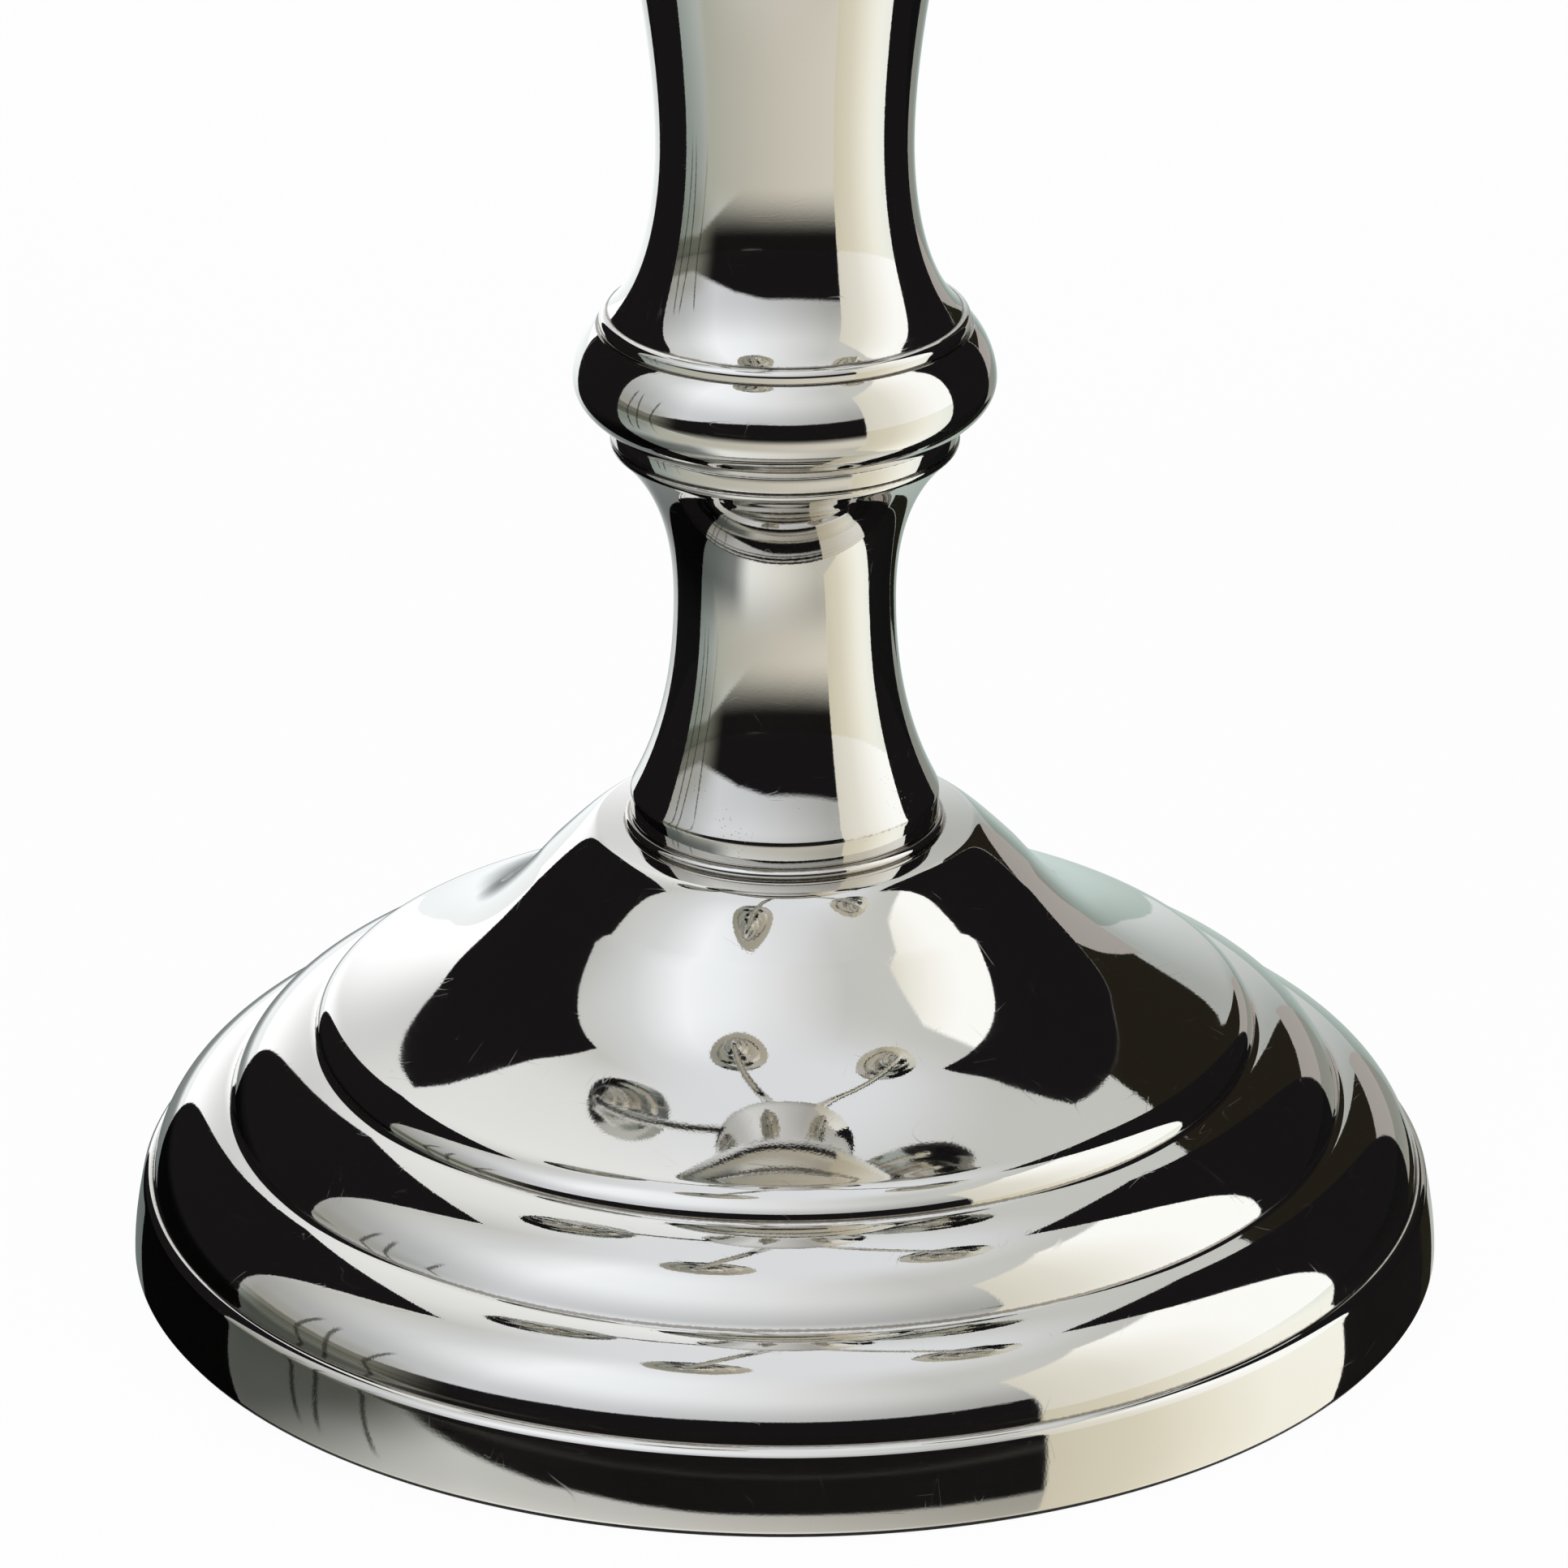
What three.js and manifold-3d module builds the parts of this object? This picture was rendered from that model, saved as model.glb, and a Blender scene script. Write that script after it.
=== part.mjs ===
// A four-branch candle holder in polished nickel plate.
// Millimetres, +Z up. The table is at z = 0 and the stem stands on the Z axis.
// One arm points along each of -Y, +X, +Y and -X.
import * as THREE from "three";
import { mergeVertices } from "three/addons/utils/BufferGeometryUtils.js";
import Module from "manifold-3d";

// Fits
const bossGap = 0.3; // radial play of rods, plugs and tubes in their holes
const candleGap = 0.2; // radial play of a candle in its tube

// Foot, from the felt up to the flat land under the spool
const rimRadius = 60.5;
const feltShow = 0.45; // the felt stands this far below the rim
const bandHeight = 6.85; // upright band of the rim
const bandTaper = 0.9; // the band draws in by this much on its way up
const rimEdgeWidth = 1.0; // rounded edge on top of the band
const rimEdgeHeight = 0.8;
const outerOvoloWidth = 7.3;
const outerOvoloHeight = 7.3;
const innerOvoloWidth = 7.85;
const innerOvoloHeight = 6.45;
const creaseStep = 0.1; // groove between two mouldings
const rollWidth = 3.0; // small convex roll at the bell's foot
const rollHeight = 2.45;
const bellFootWidth = 8.5; // slack lower stretch of the concave bell
const bellFootHeight = 4.2;
const bellHeight = 8.5; // steeper stretch above it
const shoulderWidth = 5.5; // convex top of the bell
const shoulderHeight = 4.9;
const landMargin = 3.0; // flat land left uncovered round the spool
const shellWall = 1.3;

// Weight and closing plate inside the foot
const feltThickness = 1.6;
const feltMargin = 0.5; // above the rim's foot the felt stops this far inside the plate's edge
const feltSetback = 0.4; // below it the felt reaches out to this far inside the rim
const plateThickness = 1.2;
const plateHoleRadius = 12;
const weightBossRadius = 12.5;
const weightRecessDepth = 10.2; // hides the nut and the washer
const weightRecessRadius = 11;
const weightGap = 0.6; // air between the weight and the shell

// Tie rod and what tightens it
const rodRadius = 4;
const nutAcrossFlats = 13;
const nutHeight = 6.5;
const washerRadius = 9;
const washerThickness = 1.6;
const threadEnd = 0.8; // thread that shows past a nut

// Stack of turned pieces on the rod
const ringRadius = 14.6; // bead that seats the spool on the land
const ringHeight = 0.9;
const spoolFootRadius = 14.1;
const spoolBandHeight = 2.4;
const spoolFallHeight = 18.7; // from the band in to the waist
const spoolWaistRadius = 10.05;
const spoolRiseHeight = 14.8; // from the waist out to the upright edge of the top
const spoolTopRadius = 15.7;
const spoolTopEdge = 0.55;
const collarRadius = 15.6;
const collarThickness = 1.65;
const knopRadius = 18.95;
const knopFootRadius = 15.75;
const knopLowHeight = 4.0; // up to the widest girth
const knopHighHeight = 4.9; // from there to the stem

// Taper stem
const stemLipRadius = 16.9;
const stemLipHeight = 1.45;
const stemLipStep = 0.4; // the foot's curve starts this far inside the lip
const stemFallHeight = 13.75;
const stemWaistRadius = 11.56;
const stemFlareHeight = 39.6;
const mouthRadius = 19.9;
const mouthWall = 1.6; // the mouth's recess is this much wider than the waist
const mouthDepth = 14;
const edgeRound = 0.5; // broken edge on turned rims

// Hub in the mouth, with the arms' holes
const plugLength = 12;
const hubFlangeRadius = 18.4;
const hubFlangeHeight = 4.5;
const hubDomeHeight = 3.5;
const hubDomeRadius = 15;
const drillOver = 1; // a drilled hole is cut this far past the face
const finialNeckWall = 1.1; // round the rod, where the ball meets its foot
const finialFootWidth = 1.4; // the foot stands out this far from the neck
const finialFootHeight = 2.2;
const finialSwell = 1.6; // the ball is this much wider than the neck
const finialHoleDepth = 8;

// Arms
const armCount = 4;
const armRadius = 3;
const armRootRadius = 11; // the arms stand on this circle
const armRootDepth = 5; // how deep an arm sits in the hub
const armReach = 111; // from the axis to a candle
const armRise = 92; // from the hub's top to the socket's seat
const armStub = 4; // straight length above the hub
const armTurnAcross = 0.47; // the S turns over at this share of the reach
const armTurnUp = 0.66; // and at this share of the way up
const armLeanAcross = 0.2; // handle of the curve there, as the same shares
const armLeanUp = 0.13;
const armFootPull = 0.42; // handles at its two ends, as shares of the way up
const armEndPull = 0.33;
const armTipRadius = 2.5;
const seatRadius = 4.8;
const seatHeight = 2.4;
const seatSink = 1; // the seat and the tip are brazed this deep into the arm

// Socket, its nut and the drip pan with its candle tube
const socketBaseThickness = 6;
const socketHeight = 30;
const socketFootRadius = 5.6;
const socketBellyHeight = 10; // the cup swells out over this height
const socketWall = 1.5;
const mouldingWidth = 1.4; // band round the socket's mouth
const mouldingHeight = 4;
const mouldingSlope = 1.3; // height of the slope under the band
const tipNutAcrossFlats = 8;
const tipNutHeight = 4;
const candleDiameter = 22;
const tubeWall = 1.1;
const tubeFloorGap = 1.2; // air between the arm's tip and the tube's floor
const lipRise = 5; // candle lip above the pan's floor
const panRadius = 33;
const panBowlRadius = 24.5;
const panBowlDepth = 4.2;
const panFlangeRise = 0.9;
const panThickness = 1.1;
const panRestMargin = 1.2; // flat underside that reaches past the socket's mouth

// Roundness of the meshes
const footSides = 48;
const stackSides = 32;
const smallSides = 16;
const panSides = 24;
const armSides = 8;
const armSteps = 20;

// Materials
const nickel = { color: 0xd8d1c3, roughness: 0.06, metalness: 1 };
const steel = { color: 0x8f9194, roughness: 0.4, metalness: 1 };
const iron = { color: 0x3b3c3e, roughness: 0.8, metalness: 0.6 };
const felt = { color: 0x17171a, roughness: 1, metalness: 0 };

// Heights of the stack, each seated on the one below
const rimFoot = feltShow;
const firstCreaseRadius = rimRadius - bandTaper - rimEdgeWidth;
const firstCrease = rimFoot + bandHeight + rimEdgeHeight;
const secondCreaseRadius = firstCreaseRadius - outerOvoloWidth - creaseStep;
const secondCrease = firstCrease + outerOvoloHeight + creaseStep;
const thirdCreaseRadius = secondCreaseRadius - innerOvoloWidth - creaseStep;
const thirdCrease = secondCrease + innerOvoloHeight + creaseStep;
const landRadius = spoolFootRadius + landMargin;
const land = thirdCrease + rollHeight + bellFootHeight + bellHeight + shoulderHeight;
const ringTop = land + ringHeight;
const spoolEdge = ringTop + spoolBandHeight + spoolFallHeight + spoolRiseHeight;
const spoolTop = spoolEdge + spoolTopEdge;
const collarTop = spoolTop + collarThickness;
const knopTop = collarTop + knopLowHeight + knopHighHeight;
const mouthTop = knopTop + stemLipHeight + stemFallHeight + stemFlareHeight;
const hubTop = mouthTop + hubFlangeHeight + hubDomeHeight;
const socketSeat = hubTop + armRise;
const socketLip = socketSeat + socketHeight;
const socketFloor = socketSeat + socketBaseThickness;
const tipTop = socketFloor + tipNutHeight + threadEnd;

// Radii that follow from a fit
const rodHole = rodRadius + bossGap;
const mouthHole = stemWaistRadius + mouthWall;
const tubeInside = candleDiameter / 2 + candleGap;
const tubeOutside = tubeInside + tubeWall;
const socketHole = tubeOutside + bossGap;
const socketOutside = socketHole + socketWall;
const plateRadius = rimRadius - shellWall - bossGap;
const finialNeckRadius = rodHole + finialNeckWall;
const finialBallRadius = finialNeckRadius + finialSwell;

// Heights inside the foot
const plateBottom = feltThickness;
const weightBottom = plateBottom + plateThickness;
const recessTop = weightBottom + weightRecessDepth;
const landUnderside = land - shellWall;
const rodBottom = recessTop - washerThickness - nutHeight - threadEnd;

const wasm = await Module();
wasm.setup();

// One clean geometry: shared corners are merged and triangles without area are left out.
function cleaned(geometry) {
  const bare = geometry.index ? geometry.toNonIndexed() : geometry.clone();
  bare.deleteAttribute("normal");
  bare.deleteAttribute("uv");
  const merged = mergeVertices(bare, 1e-3);
  const corners = merged.index.array;
  const kept = [];
  for (let i = 0; i < corners.length; i += 3) {
    const [a, b, c] = corners.slice(i, i + 3);
    if (a !== b && b !== c && c !== a) kept.push(a, b, c);
  }
  merged.setIndex(kept);
  return merged;
}

function toSolid(geometry) {
  const clean = cleaned(geometry);
  return new wasm.Manifold(
    new wasm.Mesh({
      numProp: 3,
      vertProperties: clean.attributes.position.array,
      triVerts: new Uint32Array(clean.index.array),
    }),
  );
}

function toGeometry(solid) {
  const mesh = solid.getMesh();
  const geometry = new THREE.BufferGeometry();
  geometry.setAttribute("position", new THREE.BufferAttribute(mesh.vertProperties, 3));
  geometry.setIndex(new THREE.BufferAttribute(mesh.triVerts, 1));
  return geometry;
}

function piece(name, geometry, finish) {
  const shown = cleaned(geometry);
  shown.computeVertexNormals();
  const mesh = new THREE.Mesh(shown, new THREE.MeshStandardMaterial(finish));
  mesh.name = name;
  return mesh;
}

// An outline is a path of (radius, height) that runs up its outside and back down its inside.
function turned(outline, sides, steps = 6) {
  const points = outline.getPoints(steps);
  return new THREE.LatheGeometry(points, sides).rotateX(Math.PI / 2);
}

function upright(radius, bottom, top, sides) {
  const rod = new THREE.CylinderGeometry(radius, radius, top - bottom, sides);
  return rod.rotateX(Math.PI / 2).translate(0, 0, (bottom + top) / 2);
}

function flatRing(inside, outside, bottom, top, sides) {
  const outline = new THREE.Path();
  outline.moveTo(inside, bottom);
  outline.lineTo(outside, bottom);
  outline.lineTo(outside, top);
  outline.lineTo(inside, top);
  outline.lineTo(inside, bottom);
  return turned(outline, sides, 1);
}

// A flat ring whose outer edge is a half-round bead.
function beadRing(inside, outside, bottom, top, sides) {
  const round = (top - bottom) / 2;
  const outline = new THREE.Path();
  outline.moveTo(inside, bottom);
  outline.lineTo(outside - round, bottom);
  outline.absarc(outside - round, bottom + round, round, -Math.PI / 2, Math.PI / 2, false);
  outline.lineTo(inside, top);
  outline.lineTo(inside, bottom);
  return turned(outline, sides, 2);
}

function hexNut(acrossFlats, holeRadius, bottom, height) {
  const corner = acrossFlats / 2 / Math.cos(Math.PI / 6);
  const shape = new THREE.Shape();
  for (let i = 0; i < 6; i++) {
    const angle = (i * Math.PI) / 3;
    const x = corner * Math.cos(angle);
    const y = corner * Math.sin(angle);
    if (i === 0) shape.moveTo(x, y);
    else shape.lineTo(x, y);
  }
  shape.holes.push(new THREE.Path().absarc(0, 0, holeRadius, 0, 2 * Math.PI, true));
  const nut = { depth: height, bevelEnabled: false, curveSegments: smallSides / 2 };
  return new THREE.ExtrudeGeometry(shape, nut).translate(0, 0, bottom);
}

// A stretch of outline to (radius, height), bent by two handles.
// Each handle is a share of the way in and a share of the way up.
function bend(outline, from, to, first, second) {
  const across = to.x - from.x;
  const up = to.y - from.y;
  outline.bezierCurveTo(
    from.x + across * first[0],
    from.y + up * first[1],
    from.x + across * second[0],
    from.y + up * second[1],
    to.x,
    to.y,
  );
}

const at = (radius, height) => new THREE.Vector2(radius, height);

function footShell() {
  const bandTop = at(rimRadius - bandTaper, rimFoot + bandHeight);
  const outerEnd = at(firstCreaseRadius - outerOvoloWidth, firstCrease + outerOvoloHeight);
  const innerStart = at(secondCreaseRadius, secondCrease);
  const innerEnd = at(secondCreaseRadius - innerOvoloWidth, secondCrease + innerOvoloHeight);
  const rollStart = at(thirdCreaseRadius, thirdCrease);
  const rollEnd = at(thirdCreaseRadius - rollWidth, thirdCrease + rollHeight);
  const bellFoot = at(rollEnd.x - bellFootWidth, rollEnd.y + bellFootHeight);
  const shoulderStart = at(landRadius + shoulderWidth, land - shoulderHeight);
  const outline = new THREE.Path();
  outline.moveTo(rimRadius - shellWall, rimFoot);
  outline.lineTo(rimRadius, rimFoot);
  outline.lineTo(bandTop.x, bandTop.y);
  outline.quadraticCurveTo(bandTop.x, firstCrease, firstCreaseRadius, firstCrease);
  bend(outline, at(firstCreaseRadius, firstCrease), outerEnd, [0.07, 0.43], [0.43, 0.885]);
  outline.lineTo(innerStart.x, innerStart.y);
  bend(outline, innerStart, innerEnd, [0.141, 0.501], [0.592, 0.86]);
  outline.lineTo(rollStart.x, rollStart.y);
  bend(outline, rollStart, rollEnd, [0.03, 0.35], [0.55, 0.81]);
  bend(outline, rollEnd, bellFoot, [0.33, 0.23], [0.72, 0.677]);
  bend(outline, bellFoot, shoulderStart, [0.325, 0.202], [0.616, 0.498]);
  bend(outline, shoulderStart, at(landRadius, land), [0.384, 0.449], [0.84, 0.969]);
  outline.lineTo(rodHole, land);
  outline.lineTo(rodHole, landUnderside);
  // The inside follows the outside one wall further in.
  const bellTopInside = at(shoulderStart.x - shellWall, shoulderStart.y - shellWall);
  const bellFootInside = at(bellFoot.x - shellWall, bellFoot.y - shellWall);
  outline.lineTo(landRadius, landUnderside);
  outline.lineTo(bellTopInside.x, bellTopInside.y);
  bend(outline, bellTopInside, bellFootInside, [0.384, 0.502], [0.675, 0.798]);
  outline.lineTo(rollEnd.x - shellWall, rollEnd.y - shellWall);
  outline.lineTo(rollStart.x - shellWall, rollStart.y - shellWall);
  outline.lineTo(innerStart.x - shellWall, innerStart.y - shellWall);
  outline.lineTo(firstCreaseRadius - shellWall, firstCrease - shellWall);
  outline.lineTo(rimRadius - shellWall, rimFoot + bandHeight / 2);
  outline.lineTo(rimRadius - shellWall, rimFoot);
  return turned(outline, footSides, 4);
}

// The weight fills the foot under the mouldings and carries the land on a tall boss.
function footWeight() {
  const clear = shellWall + weightGap;
  const sideRadius = plateRadius - bossGap;
  const outline = new THREE.Path();
  outline.moveTo(weightRecessRadius, weightBottom);
  outline.lineTo(sideRadius, weightBottom);
  outline.lineTo(sideRadius, rimFoot + bandHeight / 2);
  outline.lineTo(firstCreaseRadius - clear, firstCrease - clear);
  outline.lineTo(thirdCreaseRadius - clear, thirdCrease - clear);
  outline.lineTo(weightBossRadius, thirdCrease - clear);
  outline.lineTo(weightBossRadius, landUnderside);
  outline.lineTo(rodHole, landUnderside);
  outline.lineTo(rodHole, recessTop);
  outline.lineTo(weightRecessRadius, recessTop);
  outline.lineTo(weightRecessRadius, weightBottom);
  return turned(outline, stackSides, 1);
}

// The felt closes the foot and spreads out under the rim, which stands on it.
function feltBody() {
  const insideRadius = plateRadius - feltMargin;
  const outline = new THREE.Path();
  outline.moveTo(plateHoleRadius, 0);
  outline.lineTo(rimRadius - feltSetback, 0);
  outline.lineTo(rimRadius - feltSetback, rimFoot);
  outline.lineTo(insideRadius, rimFoot);
  outline.lineTo(insideRadius, feltThickness);
  outline.lineTo(plateHoleRadius, feltThickness);
  outline.lineTo(plateHoleRadius, 0);
  return turned(outline, footSides, 1);
}

function spoolBody() {
  const bandTop = at(spoolFootRadius, ringTop + spoolBandHeight);
  const waist = at(spoolWaistRadius, bandTop.y + spoolFallHeight);
  const outline = new THREE.Path();
  outline.moveTo(rodHole, ringTop);
  outline.lineTo(spoolFootRadius, ringTop);
  outline.lineTo(bandTop.x, bandTop.y);
  bend(outline, bandTop, waist, [0.759, 0.319], [1, 0.649]);
  bend(outline, waist, at(spoolTopRadius, spoolEdge), [0, 0.388], [0.225, 0.741]);
  outline.lineTo(spoolTopRadius, spoolTop);
  outline.lineTo(rodHole, spoolTop);
  outline.lineTo(rodHole, ringTop);
  return turned(outline, stackSides, 5);
}

function knopBody() {
  const foot = at(knopFootRadius, collarTop);
  const girth = at(knopRadius, collarTop + knopLowHeight);
  const outline = new THREE.Path();
  outline.moveTo(rodHole, collarTop);
  outline.lineTo(foot.x, foot.y);
  bend(outline, foot, girth, [0.46, 0.245], [1, 0.52]);
  bend(outline, girth, at(stemLipRadius, knopTop), [0, 0.35], [0.55, 0.72]);
  outline.lineTo(rodHole, knopTop);
  outline.lineTo(rodHole, collarTop);
  return turned(outline, stackSides, 4);
}

function stemBody() {
  const foot = at(stemLipRadius - stemLipStep, knopTop + stemLipHeight);
  const waist = at(stemWaistRadius, foot.y + stemFallHeight);
  const outline = new THREE.Path();
  outline.moveTo(rodHole, knopTop);
  outline.lineTo(stemLipRadius, knopTop);
  outline.lineTo(foot.x, foot.y);
  bend(outline, foot, waist, [0.8, 0.24], [1, 0.55]);
  bend(outline, waist, at(mouthRadius, mouthTop - edgeRound), [0, 0.295], [0.47, 0.827]);
  outline.lineTo(mouthRadius - edgeRound, mouthTop);
  outline.lineTo(mouthHole, mouthTop);
  outline.lineTo(mouthHole, mouthTop - mouthDepth);
  outline.lineTo(rodHole, mouthTop - mouthDepth);
  outline.lineTo(rodHole, knopTop);
  return turned(outline, stackSides, 5);
}

// The plug drops into the stem's mouth, and the arms stand in holes in its dome.
function hubBody() {
  const plugRadius = mouthHole - bossGap;
  const flangeTop = mouthTop + hubFlangeHeight;
  const outline = new THREE.Path();
  outline.moveTo(rodHole, mouthTop - plugLength);
  outline.lineTo(plugRadius, mouthTop - plugLength);
  outline.lineTo(plugRadius, mouthTop);
  outline.lineTo(hubFlangeRadius, mouthTop);
  outline.lineTo(hubFlangeRadius, flangeTop - edgeRound);
  outline.lineTo(hubFlangeRadius - edgeRound, flangeTop);
  outline.quadraticCurveTo(hubDomeRadius, flangeTop, hubDomeRadius, hubTop);
  outline.lineTo(rodHole, hubTop);
  outline.lineTo(rodHole, mouthTop - plugLength);
  let hub = toSolid(turned(outline, stackSides, 3));
  const holeFloor = hubTop - armRootDepth - bossGap;
  const hole = upright(armRadius + bossGap, holeFloor, hubTop + drillOver, smallSides);
  for (let i = 0; i < armCount; i++) {
    const angle = (i * 2 * Math.PI) / armCount;
    const drill = hole.clone().translate(armRootRadius, 0, 0).rotateZ(angle);
    hub = hub.subtract(toSolid(drill));
  }
  return toGeometry(hub);
}

// The finial is the rod's top nut: a ball on a foot with a blind hole from below.
function finialBody() {
  const footRadius = finialNeckRadius + finialFootWidth;
  const footTop = hubTop + finialFootHeight;
  const neckAngle = Math.acos(finialNeckRadius / finialBallRadius);
  const ballCentre = footTop + finialBallRadius * Math.sin(neckAngle);
  const outline = new THREE.Path();
  outline.moveTo(rodHole, hubTop);
  outline.lineTo(footRadius, hubTop);
  outline.lineTo(footRadius, footTop);
  outline.absarc(0, ballCentre, finialBallRadius, -neckAngle, Math.PI / 2, false);
  outline.lineTo(0, hubTop + finialHoleDepth);
  outline.lineTo(rodHole, hubTop + finialHoleDepth);
  outline.lineTo(rodHole, hubTop);
  return turned(outline, smallSides, 4);
}

// An arm rises out of the hub, leans out and turns up again under its socket.
function armBody() {
  const exit = hubTop + armStub;
  const seat = socketSeat - seatHeight;
  const up = seat - exit;
  const point = (across, height) => new THREE.Vector3(across, 0, height);
  const root = point(armRootRadius, exit);
  const turn = point(armReach * armTurnAcross, exit + up * armTurnUp);
  const lean = point(armReach * armLeanAcross, up * armLeanUp);
  const end = point(armReach, seat);
  const rootHandle = point(armRootRadius, exit + up * armFootPull);
  const endHandle = point(armReach, seat - up * armEndPull);
  const path = new THREE.CurvePath();
  path.add(new THREE.LineCurve3(point(armRootRadius, hubTop - armRootDepth), root));
  path.add(new THREE.CubicBezierCurve3(root, rootHandle, turn.clone().sub(lean), turn));
  path.add(new THREE.CubicBezierCurve3(turn, turn.clone().add(lean), endHandle, end));
  const section = new THREE.Shape().absarc(0, 0, armRadius, 0, 2 * Math.PI, false);
  const rod = new THREE.ExtrudeGeometry(section, {
    steps: armSteps,
    curveSegments: armSides / 2,
    bevelEnabled: false,
    extrudePath: path,
  });
  const seatDisc = upright(seatRadius, seat - seatSink, socketSeat, smallSides);
  const tip = upright(armTipRadius, socketSeat - seatSink, tipTop, armSides);
  seatDisc.translate(armReach, 0, 0);
  tip.translate(armReach, 0, 0);
  return toGeometry(toSolid(rod).add(toSolid(seatDisc)).add(toSolid(tip)));
}

function socketBody() {
  const hole = armTipRadius + bossGap;
  const belly = at(socketOutside, socketSeat + socketBellyHeight);
  const bandFoot = socketLip - mouldingHeight;
  const bandRadius = socketOutside + mouldingWidth;
  const outline = new THREE.Path();
  outline.moveTo(hole, socketSeat);
  outline.lineTo(socketFootRadius, socketSeat);
  bend(outline, at(socketFootRadius, socketSeat), belly, [0.2, 0.55], [1, 0.2]);
  outline.lineTo(socketOutside, bandFoot);
  outline.lineTo(bandRadius, bandFoot + mouldingSlope);
  outline.lineTo(bandRadius, socketLip - edgeRound);
  outline.lineTo(bandRadius - edgeRound, socketLip);
  outline.lineTo(socketHole, socketLip);
  outline.lineTo(socketHole, socketFloor);
  outline.lineTo(hole, socketFloor);
  outline.lineTo(hole, socketSeat);
  return turned(outline, smallSides, 3);
}

// The drip pan and the candle tube under it are one spun piece that rests on the socket's lip.
function nozzleBody() {
  const tubeBottom = tipTop + tubeFloorGap;
  const tubeLip = socketLip + lipRise;
  const restRadius = socketOutside + panRestMargin;
  const bowlFoot = at(restRadius, socketLip);
  const bowlEdge = at(panBowlRadius, socketLip + panBowlDepth);
  const panEdge = bowlEdge.y + panFlangeRise;
  const bowlEdgeInside = at(panBowlRadius - edgeRound, bowlEdge.y + panThickness);
  const bowlFootInside = at(restRadius, socketLip + panThickness);
  const outline = new THREE.Path();
  outline.moveTo(0, tubeBottom);
  outline.lineTo(tubeOutside, tubeBottom);
  outline.lineTo(tubeOutside, socketLip);
  outline.lineTo(bowlFoot.x, bowlFoot.y);
  bend(outline, bowlFoot, bowlEdge, [0.54, 0.09], [0.86, 0.43]);
  outline.lineTo(panRadius - edgeRound, panEdge);
  outline.lineTo(panRadius, panEdge + edgeRound);
  outline.lineTo(panRadius - edgeRound, panEdge + panThickness);
  outline.lineTo(bowlEdgeInside.x, bowlEdgeInside.y);
  bend(outline, bowlEdgeInside, bowlFootInside, [0.18, 0.6], [0.5, 0.94]);
  outline.lineTo(tubeOutside, socketLip + panThickness);
  outline.lineTo(tubeOutside, tubeLip - edgeRound);
  outline.lineTo(tubeOutside - edgeRound, tubeLip);
  outline.lineTo(tubeInside, tubeLip);
  outline.lineTo(tubeInside, tubeBottom + tubeWall);
  outline.lineTo(0, tubeBottom + tubeWall);
  return turned(outline, panSides, 3);
}

const foot = new THREE.Group();
const plateRing = flatRing(plateHoleRadius, plateRadius, plateBottom, weightBottom, footSides);
foot.add(
  piece("felt_pad", feltBody(), felt),
  piece("base_plate", plateRing, steel),
  piece("foot_weight", footWeight(), iron),
  piece("foot_shell", footShell(), nickel),
);

const stack = new THREE.Group();
const washerBottom = recessTop - washerThickness;
const washer = flatRing(rodHole, washerRadius, washerBottom, recessTop, smallSides);
const rodNut = hexNut(nutAcrossFlats, rodHole, washerBottom - nutHeight, nutHeight);
const rodTop = hubTop + finialHoleDepth - bossGap;
const collar = flatRing(rodHole, collarRadius, spoolTop, collarTop, stackSides);
stack.add(
  piece("rod_nut", rodNut, steel),
  piece("rod_washer", washer, steel),
  piece("tie_rod", upright(rodRadius, rodBottom, rodTop, smallSides), steel),
  piece("seating_ring", beadRing(rodHole, ringRadius, land, ringTop, stackSides), nickel),
  piece("spool", spoolBody(), nickel),
  piece("collar_disc", collar, nickel),
  piece("knop", knopBody(), nickel),
  piece("upper_stem", stemBody(), nickel),
  piece("branch_hub", hubBody(), nickel),
  piece("finial", finialBody(), nickel),
);

const candelabra = new THREE.Group();
candelabra.add(foot, stack);
for (let i = 0; i < armCount; i++) {
  const branch = new THREE.Group();
  branch.rotation.z = -Math.PI / 2 + (i * 2 * Math.PI) / armCount;
  branch.add(piece("arm_" + (i + 1), armBody(), nickel));
  const holder = new THREE.Group();
  holder.position.x = armReach;
  const tipNut = hexNut(tipNutAcrossFlats, armTipRadius + bossGap, socketFloor, tipNutHeight);
  holder.add(
    piece("socket_" + (i + 1), socketBody(), nickel),
    piece("socket_nut_" + (i + 1), tipNut, steel),
    piece("nozzle_" + (i + 1), nozzleBody(), nickel),
  );
  branch.add(holder);
  candelabra.add(branch);
}

export default candelabra;
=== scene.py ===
import bpy
import math
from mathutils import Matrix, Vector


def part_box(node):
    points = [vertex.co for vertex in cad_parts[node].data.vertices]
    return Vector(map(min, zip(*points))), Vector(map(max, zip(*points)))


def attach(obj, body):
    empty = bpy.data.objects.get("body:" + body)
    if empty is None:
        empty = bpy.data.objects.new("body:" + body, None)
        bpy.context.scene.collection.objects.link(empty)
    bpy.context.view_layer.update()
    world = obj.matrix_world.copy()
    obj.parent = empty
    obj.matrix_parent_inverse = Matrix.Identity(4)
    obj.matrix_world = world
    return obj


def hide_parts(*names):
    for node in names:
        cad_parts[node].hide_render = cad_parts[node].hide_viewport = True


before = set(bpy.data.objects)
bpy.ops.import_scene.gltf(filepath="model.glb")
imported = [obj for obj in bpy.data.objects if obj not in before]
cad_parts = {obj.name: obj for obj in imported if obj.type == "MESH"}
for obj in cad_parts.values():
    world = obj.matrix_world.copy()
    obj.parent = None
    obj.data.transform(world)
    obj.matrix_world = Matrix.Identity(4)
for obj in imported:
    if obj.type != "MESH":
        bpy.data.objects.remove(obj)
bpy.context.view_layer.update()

mm = 0.001
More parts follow.
